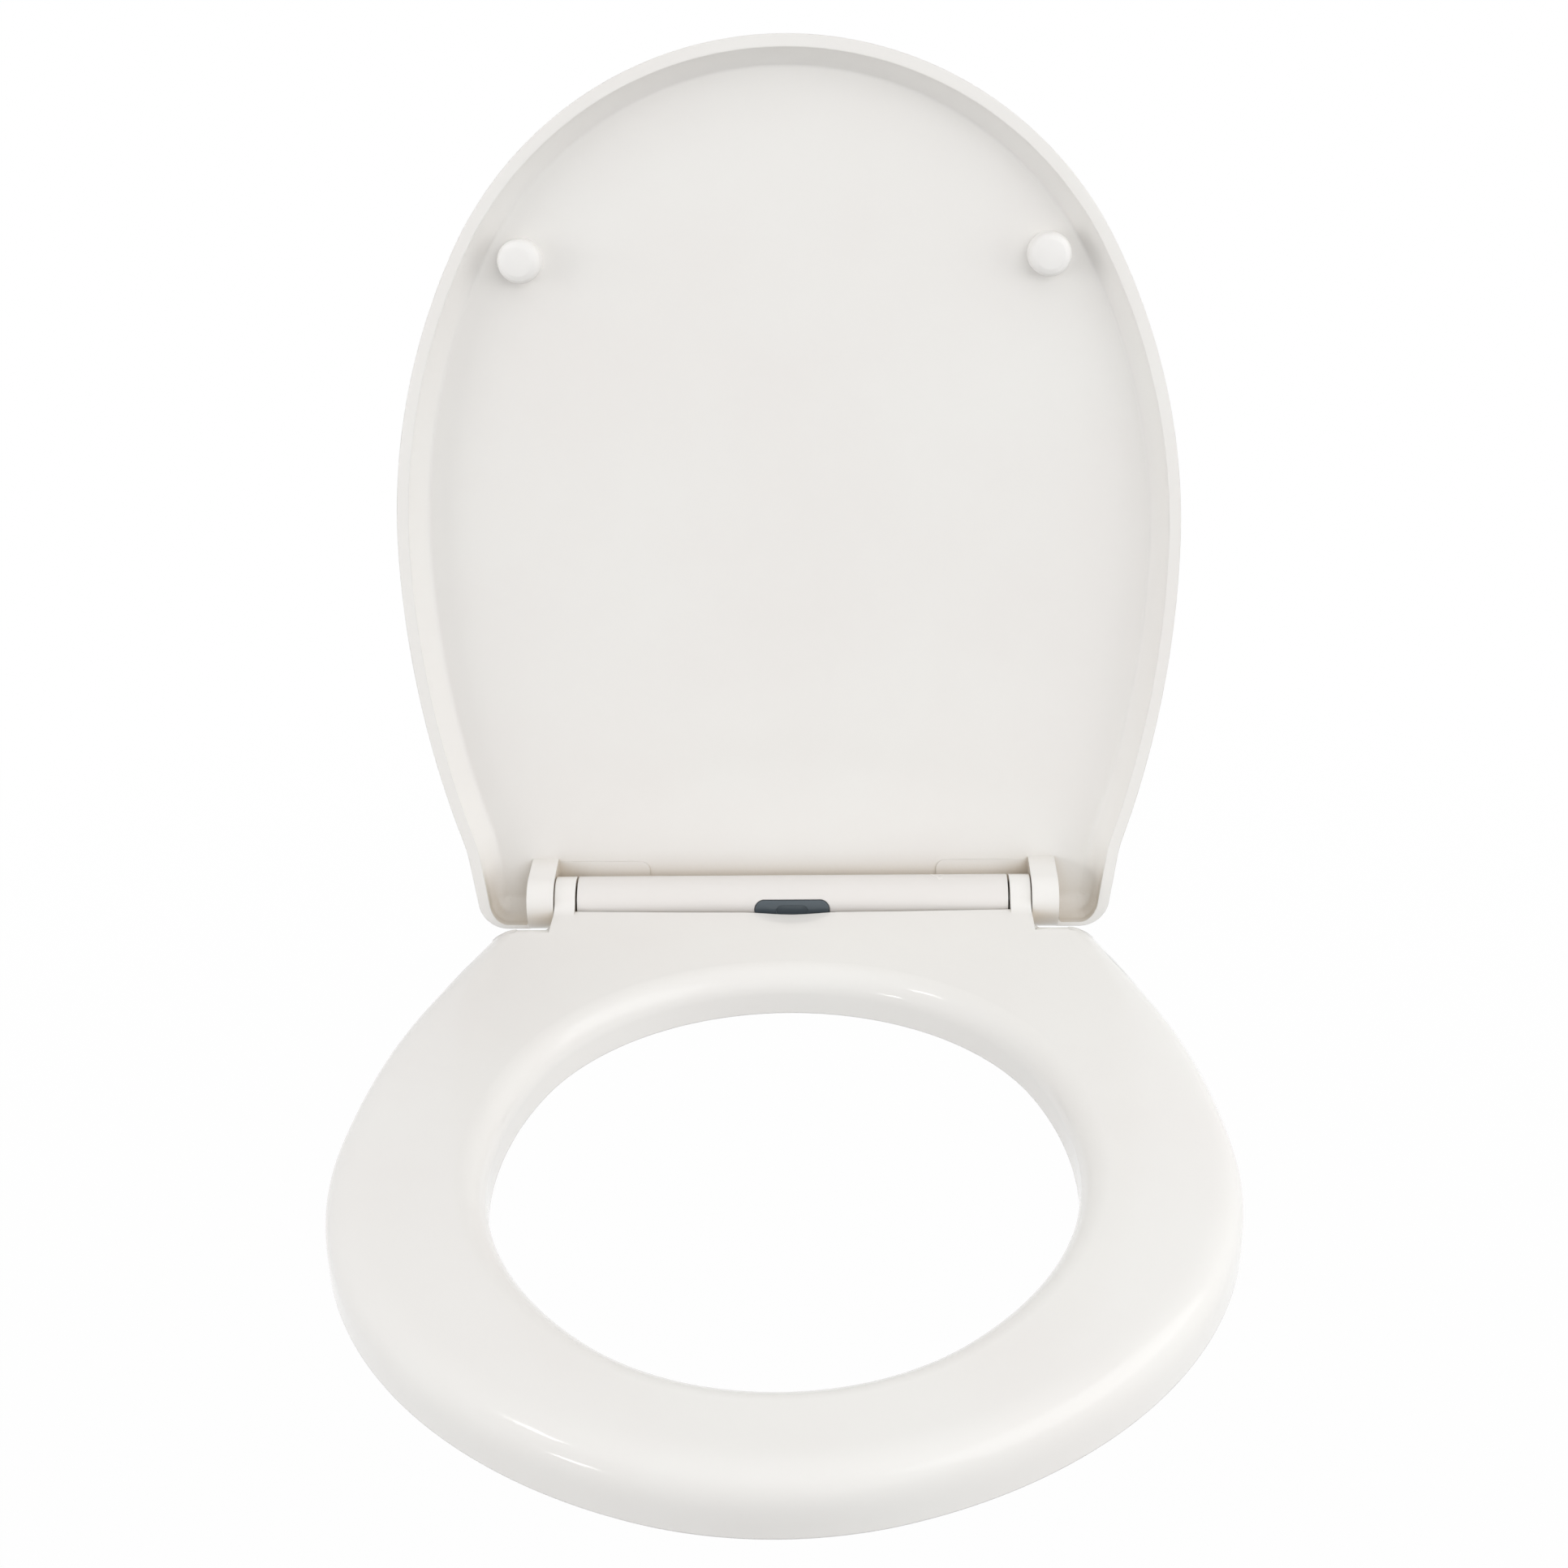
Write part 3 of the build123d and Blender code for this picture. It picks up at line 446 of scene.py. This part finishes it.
def hollowed(points, triangles, normals):
    """The ring with a shallow thumb hollow before the button and its rear edge bowed off the barrel."""
    for x in np.arange(-HOLLOW_HALF, HOLLOW_HALF + HOLLOW_CUT, HOLLOW_CUT):
        points, triangles, normals = cut(points, triangles, normals, 0, x)
    for y in np.arange(BRIDGE_EDGE_Y - HOLLOW_RUN, BRIDGE_EDGE_Y, HOLLOW_CUT):
        points, triangles, normals = cut(points, triangles, normals, 1, y)
    x, y, z = points.T
    deep = progress(z, SEAT_FOOT, SEAT_TOP) * (np.abs(x) <= BRIDGE_HALF)
    run = progress(y, BRIDGE_EDGE_Y - HOLLOW_RUN, BRIDGE_EDGE_Y)
    # A smooth step along the run, and its slope
    ease, slope = run**2 * (3 - 2 * run) * deep, 6 * run * (1 - run) / HOLLOW_RUN
    turn = np.clip(x / HOLLOW_HALF, -1, 1) * math.pi
    swell, lean = (1 + np.cos(turn)) / 2, -np.sin(turn) / 2 * math.pi / HOLLOW_HALF
    bow = 1 - (x / BRIDGE_HALF) ** 2
    sunk = np.stack([np.zeros_like(x), -BRIDGE_BOW * bow * ease, -HOLLOW_DEPTH * swell * ease], axis=1)
    dished = np.stack([HOLLOW_DEPTH * lean * ease, HOLLOW_DEPTH * swell * slope, np.ones_like(x)], axis=1)
    flat = (deep > 1 - UPRIGHT)[triangles] & (normals[..., 2] > 1 - UPRIGHT)
    return points + sunk, triangles, np.where(flat[..., None], unit(dished)[triangles], normals)


def domed(points, triangles, normals, up):
    """The lid's bumpers drawn in a little, with a soft dome in place of their flat ends."""
    places, turned = points.copy(), normals.copy()
    for way in (-1, 1):
        one = points[:, 0] * way > 0
        low, high = points[one].min(0), points[one].max(0)
        middle = (low + high) / 2
        half = (high - low)[0] / 2
        spoke = points - middle
        fall = -(spoke @ up)[:, None]
        share = (fall - fall[one].min()) / np.ptp(fall[one])
        radial = spoke + fall * up
        radius = np.linalg.norm(radial, axis=1, keepdims=True) / half
        shape = middle - up * (fall - BUMPER_DOME * radius**2 * share) + BUMPER_SHARE * radial
        places[one] = shape[one]
        tilt = 2 * BUMPER_DOME / half * radius * share * unit(radial)
        on = one[triangles]
        turned[on] = unit(normals - (normals @ up)[..., None] * tilt[triangles])[on]
    return places, turned


def cove_rows(way):
    """Sections of the cove at one end of the bridge, from the ring's top down to its underside."""
    power, level = EDGE_REAR_POWER, AXIS_HEIGHT + EDGE_HEIGHT
    out = np.array((way, 0.0, 0.0))
    sweep = np.linspace(0, math.pi / 2, COVE_STEPS + 1)
    rows = []
    for turn in np.append(sweep[1:], math.pi / 2):
        reach, rise = math.sin(turn) ** (2 / power), abs(math.cos(turn)) ** (2 / power)
        foot = np.array((way * BRIDGE_END, SEAT_REAR - EDGE_R * (1 - reach), level + EDGE_R * rise))
        lean = unit(np.array((0.0, reach ** (power - 1), rise ** (power - 1))))
        size = min(COVE_R, (SEAT_TOP - foot[2]) / max(lean[2], UPRIGHT))
        arc = [foot + size * ((1 - math.sin(a)) * out + (1 - math.cos(a)) * lean) for a in sweep]
        rows.append(np.array([foot - COVE_SINK * (out + lean), *arc]))
    rows[-1][:, 2] = SEAT_FOOT
    return np.array(rows)


def cove_mesh():
    """Hollow fillets that carry the ring's rear edge into the ends of the bridge, as closed solids."""
    points, faces, smooth = [], [], []
    for way in (-1, 1):
        rows = cove_rows(way)
        count, across = rows.shape[:2]
        start = len(points)
        points.extend(rows.reshape(-1, 3).tolist())
        for row in range(count - 1):
            for column in range(across):
                beside = (column + 1) % across
                here, there = start + row * across, start + (row + 1) * across
                face = (here + column, there + column, there + beside, here + beside)
                faces.append(face[::way])
                smooth.append(0 < column < across - 1)
        for end in (start, start + (count - 1) * across):
            cap = tuple(range(end, end + across))
            faces.append(cap[::way if end == start else -way])
            smooth.append(False)
    mesh = bpy.data.meshes.new("ear_coves")
    mesh.from_pydata(points, [], faces)
    mesh.polygons.foreach_set("use_smooth", smooth)
    return mesh


def finished_mesh(node, up):
    """The node's shape with round surfaces in place of its facets."""
    points, triangles, exact = facets(node)
    even = evened(triangles, exact, up)
    for _ in range(ROUNDS):
        points, triangles, exact, even = divided(points, triangles, exact, even)
    if node == "seat_ring":
        points, even = redrawn(points, triangles, even, up, np.mean(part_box(node), axis=0))
        points, triangles, even = hollowed(points, triangles, even)
    if node == "lid_shell":
        points, even = sloped(points, triangles, even, up, np.mean(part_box(node), axis=0))
        points = thinned(points, triangles, even, up)
    if node == "lid_bumpers":
        points, even = domed(points, triangles, even, up)
    mesh = bpy.data.meshes.new(node)
    mesh.from_pydata(points.tolist(), [], triangles.tolist())
    mesh.polygons.foreach_set("use_smooth", [True] * len(mesh.polygons))
    mesh.normals_split_custom_set(even.reshape(-1, 3).tolist())
    return mesh


# Materials

def shader_tree(name):
    """A new material with its nodes, links and principled shader."""
    material = bpy.data.materials.new(name)
    material.use_nodes = True
    nodes, links = material.node_tree.nodes, material.node_tree.links
    return material, nodes, links, nodes["Principled BSDF"]


def largest(nodes, links, values):
    """The largest of several values."""
    best = values[0]
    for value in values[1:]:
        pick = nodes.new("ShaderNodeMath")
        pick.operation = "MAXIMUM"
        links.new(best, pick.inputs[0])
        links.new(value, pick.inputs[1])
        best = pick.outputs[0]
    return best


def noise(nodes, links, scale, detail, stretch=(1.0, 1.0, 1.0)):
    """A noise pattern fixed to the piece, with its scale in waves per metre."""
    place = nodes.new("ShaderNodeTexCoord")
    mapping = nodes.new("ShaderNodeMapping")
    mapping.inputs["Scale"].default_value = stretch
    pattern = nodes.new("ShaderNodeTexNoise")
    pattern.inputs["Scale"].default_value = scale
    pattern.inputs["Detail"].default_value = detail
    links.new(place.outputs["Object"], mapping.inputs["Vector"])
    links.new(mapping.outputs["Vector"], pattern.inputs["Vector"])
    return pattern.outputs["Fac"]


def graded(nodes, links, pattern, low, high):
    """Colours between two ends, spread by a pattern."""
    ramp = nodes.new("ShaderNodeValToRGB")
    for stop, position, colour in zip(ramp.color_ramp.elements, COLOUR_RANGE, (low, high)):
        stop.position = position
        stop.color = (*colour, 1.0)
    links.new(pattern, ramp.inputs["Fac"])
    return ramp.outputs["Color"]


def spread(nodes, links, pattern, low, high):
    """Numbers between two ends, spread by a pattern."""
    reach = nodes.new("ShaderNodeMapRange")
    reach.inputs["From Min"].default_value = ROUGH_RANGE[0]
    reach.inputs["From Max"].default_value = ROUGH_RANGE[1]
    reach.inputs["To Min"].default_value = low
    reach.inputs["To Max"].default_value = high
    links.new(pattern, reach.inputs["Value"])
    return reach.outputs["Result"]


def bumped(nodes, links, shader, pattern, depth, edge=0.0):
    """Small relief on a shader, with its depth in metres, over edges eased by a radius in metres."""
    bump = nodes.new("ShaderNodeBump")
    bump.inputs["Distance"].default_value = depth
    links.new(pattern, bump.inputs["Height"])
    links.new(bump.outputs["Normal"], shader.inputs["Normal"])
    if edge:
        bevel = nodes.new("ShaderNodeBevel")
        bevel.samples = EDGE_SAMPLES
        bevel.inputs["Radius"].default_value = edge
        links.new(bevel.outputs["Normal"], bump.inputs["Normal"])


def eased(nodes, links, value, low, high):
    """A soft step from nought to one as a value goes from low to high."""
    step = nodes.new("ShaderNodeMapRange")
    step.interpolation_type = "SMOOTHSTEP"
    step.inputs["From Min"].default_value = low
    step.inputs["From Max"].default_value = high
    links.new(value, step.inputs["Value"])
    return step.outputs["Result"]


def painted_corner_shade(nodes, links, colour, deep):
    """A colour with painted shade, deepened in hollows round the hinge by ambient occlusion."""
    hidden = nodes.new("ShaderNodeAmbientOcclusion")
    hidden.samples = CORNER_SAMPLES
    hidden.inputs["Distance"].default_value = CORNER_REACH
    place = nodes.new("ShaderNodeTexCoord")
    side_view = nodes.new("ShaderNodeMapping")
    side_view.inputs["Location"].default_value = (0.0, 0.0, -AXIS_HEIGHT)
    side_view.inputs["Scale"].default_value = (0.0, 1.0, 1.0)
    away = nodes.new("ShaderNodeVectorMath")
    away.operation = "LENGTH"
    links.new(place.outputs["Object"], side_view.inputs["Vector"])
    links.new(side_view.outputs["Vector"], away.inputs[0])
    unshaded = largest(nodes, links, [
        eased(nodes, links, hidden.outputs["AO"], CORNER_DEEP, CORNER_OPEN),
        eased(nodes, links, away.outputs["Value"], HINGE_NEAR, HINGE_FAR)])
    mix = nodes.new("ShaderNodeMix")
    mix.data_type = "RGBA"
    mix.inputs["A"].default_value = (*deep, 1.0)
    links.new(unshaded, mix.inputs["Factor"])
    links.new(colour, mix.inputs["B"])
    return mix.outputs["Result"]


def moulding(name, pale, warm, rough_low, rough_high, skin_waves, skin_depth, edge, ior, deep):
    """A moulded surface: faint drift of colour, uneven gloss, a fine skin and eased edges."""
    material, nodes, links, shader = shader_tree(name)
    drift = noise(nodes, links, DRIFT_WAVES, DRIFT_DETAIL)
    colour = graded(nodes, links, drift, warm, pale)
    # Painted shade: where a shade colour is given, the colour darkens in hollows round the hinge
    if deep:
        colour = painted_corner_shade(nodes, links, colour, deep)
    links.new(colour, shader.inputs["Base Color"])
    polish = noise(nodes, links, POLISH_WAVES, POLISH_DETAIL)
    links.new(spread(nodes, links, polish, rough_low, rough_high), shader.inputs["Roughness"])
    shader.inputs["IOR"].default_value = ior
    skin = noise(nodes, links, skin_waves, SKIN_DETAIL)
    bumped(nodes, links, shader, skin, skin_depth, edge)
    return material


def metal(name):
    """Turned or drawn steel with its fine lines along one direction."""
    material, nodes, links, shader = shader_tree(name)
    shader.inputs["Metallic"].default_value = 1.0
    lines = noise(nodes, links, LINE_WAVES, LINE_DETAIL, LINE_STRETCH)
    links.new(graded(nodes, links, lines, STEEL_DARK, STEEL_PALE), shader.inputs["Base Color"])
    links.new(spread(nodes, links, lines, *STEEL_ROUGH), shader.inputs["Roughness"])
    bumped(nodes, links, shader, lines, LINE_DEPTH)
    return material


MATERIALS = {name: moulding(name, *values) for name, values in MOULDINGS.items()}
MATERIALS["steel"] = metal("steel")


# Pieces of the object

def lid_up():
    """The direction that points up from the closed lid, as the lid stands open at rest."""
    hinge = next(joint for joint in frame["joints"] if joint["name"] == "lid_hinge")
    opened = math.radians(-hinge["range_deg"][0])
    return np.array(Matrix.Rotation(opened, 3, Vector(hinge["axis"])) @ Vector((0, 0, 1)))


def dress(node, body):
    """The finished piece that stands for one node, with its material."""
    up = lid_up() if body == "lid" else np.array((0.0, 0.0, 1.0))
    piece = bpy.data.objects.new(f"{node}_finished", finished_mesh(node, up))
    bpy.context.scene.collection.objects.link(piece)
    piece.data.materials.append(MATERIALS[NODE_SLOTS[node]])
    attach(piece, body)
    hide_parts(node)


def add_coves():
    """The coves at the ring's ears, in the ring's own material."""
    coves = bpy.data.objects.new("ear_coves", cove_mesh())
    bpy.context.scene.collection.objects.link(coves)
    coves.data.materials.append(MATERIALS[NODE_SLOTS["seat_ring"]])
    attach(coves, "seat")


for body, members in frame["record"]["behaviour"]["bodies"].items():
    for member in members:
        dress(member, body)
add_coves()


# Stage, light and camera

def seen_directly(nodes, links):
    """One where a ray comes from the camera, a mirror or glass, and nought elsewhere."""
    path = nodes.new("ShaderNodeLightPath")
    rays = ("Is Camera Ray", "Is Glossy Ray", "Is Transmission Ray")
    return largest(nodes, links, [path.outputs[ray] for ray in rays])


def make_floor():
    """A pale floor that keeps the object's shadow and reads as white."""
    half = FLOOR_SIZE / 2
    mesh = bpy.data.meshes.new("floor")
    corners = [(x, y, FLOOR_Z) for x, y in ((-half, -half), (half, -half), (half, half), (-half, half))]
    mesh.from_pydata(corners, [], [(0, 1, 2, 3)])
    floor = bpy.data.objects.new("floor", mesh)
    bpy.context.scene.collection.objects.link(floor)
    material, nodes, links, shader = shader_tree("floor")
    shader.inputs["Base Color"].default_value = (FLOOR_GREY, FLOOR_GREY, FLOOR_GREY, 1.0)
    shader.inputs["Roughness"].default_value = 1.0
    shader.inputs["Specular IOR Level"].default_value = 0.0
    glow = nodes.new("ShaderNodeEmission")
    mix = nodes.new("ShaderNodeMixShader")
    place = nodes.new("ShaderNodeTexCoord")
    away = nodes.new("ShaderNodeVectorMath")
    away.operation = "LENGTH"
    fade = nodes.new("ShaderNodeMapRange")
    fade.inputs["From Min"].default_value = FLOOR_NEAR
    fade.inputs["From Max"].default_value = FLOOR_FAR
    fade.inputs["To Min"].default_value = FLOOR_NEAR_WHITE
    fade.inputs["To Max"].default_value = 1.0
    share = nodes.new("ShaderNodeMath")
    share.operation = "MULTIPLY"
    links.new(place.outputs["Object"], away.inputs[0])
    links.new(away.outputs["Value"], fade.inputs["Value"])
    links.new(seen_directly(nodes, links), share.inputs[0])
    links.new(fade.outputs["Result"], share.inputs[1])
    links.new(share.outputs[0], mix.inputs["Fac"])
    links.new(shader.outputs["BSDF"], mix.inputs[1])
    links.new(glow.outputs["Emission"], mix.inputs[2])
    links.new(mix.outputs["Shader"], nodes["Material Output"].inputs["Surface"])
    mesh.materials.append(material)


def make_world():
    """Even light from all round, with a white backdrop where it is seen."""
    world = bpy.data.worlds.new("studio")
    world.use_nodes = True
    nodes, links = world.node_tree.nodes, world.node_tree.links
    soft = nodes["Background"]
    soft.inputs["Color"].default_value = (1.0, 1.0, 1.0, 1.0)
    soft.inputs["Strength"].default_value = WORLD_LIGHT
    white = nodes.new("ShaderNodeBackground")
    white.inputs["Color"].default_value = (1.0, 1.0, 1.0, 1.0)
    mix = nodes.new("ShaderNodeMixShader")
    links.new(seen_directly(nodes, links), mix.inputs["Fac"])
    links.new(soft.outputs["Background"], mix.inputs[1])
    links.new(white.outputs["Background"], mix.inputs[2])
    links.new(mix.outputs["Shader"], nodes["World Output"].inputs["Surface"])
    bpy.context.scene.world = world


def make_lamps():
    """Soft studio lamps, each aimed at the seat."""
    for name, place, width, height, watts, mirrored in LAMPS:
        light = bpy.data.lights.new(name, "AREA")
        light.shape = "RECTANGLE"
        light.size = width
        light.size_y = height
        light.energy = watts
        lamp = bpy.data.objects.new(name, light)
        lamp.location = place
        lamp.rotation_euler = (Vector(SEAT_MIDDLE) - Vector(place)).to_track_quat("-Z", "Y").to_euler()
        lamp.visible_glossy = mirrored
        bpy.context.scene.collection.objects.link(lamp)


def make_camera():
    """The photograph's own viewpoint."""
    data = bpy.data.cameras.new("camera")
    data.sensor_width = SENSOR_MM
    data.lens = FOCAL_PX / IMAGE_PX * SENSOR_MM
    pitch, yaw, roll = (math.radians(a) for a in (CAMERA_PITCH, CAMERA_YAW, CAMERA_ROLL))
    ahead = Vector((math.sin(yaw) * math.cos(pitch), math.cos(yaw) * math.cos(pitch), -math.sin(pitch)))
    level = Vector((math.cos(yaw), -math.sin(yaw), 0.0))
    over = level.cross(ahead)
    right = level * math.cos(roll) + over * math.sin(roll)
    above = over * math.cos(roll) - level * math.sin(roll)
    turn = Matrix((right, above, -ahead)).transposed().to_4x4()
    camera = bpy.data.objects.new("camera", data)
    camera.matrix_world = Matrix.Translation(CAMERA_PLACE) @ turn
    bpy.context.scene.collection.objects.link(camera)
    bpy.context.scene.camera = camera


make_floor()
make_world()
make_lamps()
make_camera()
bpy.context.scene.view_settings.view_transform = "Standard"
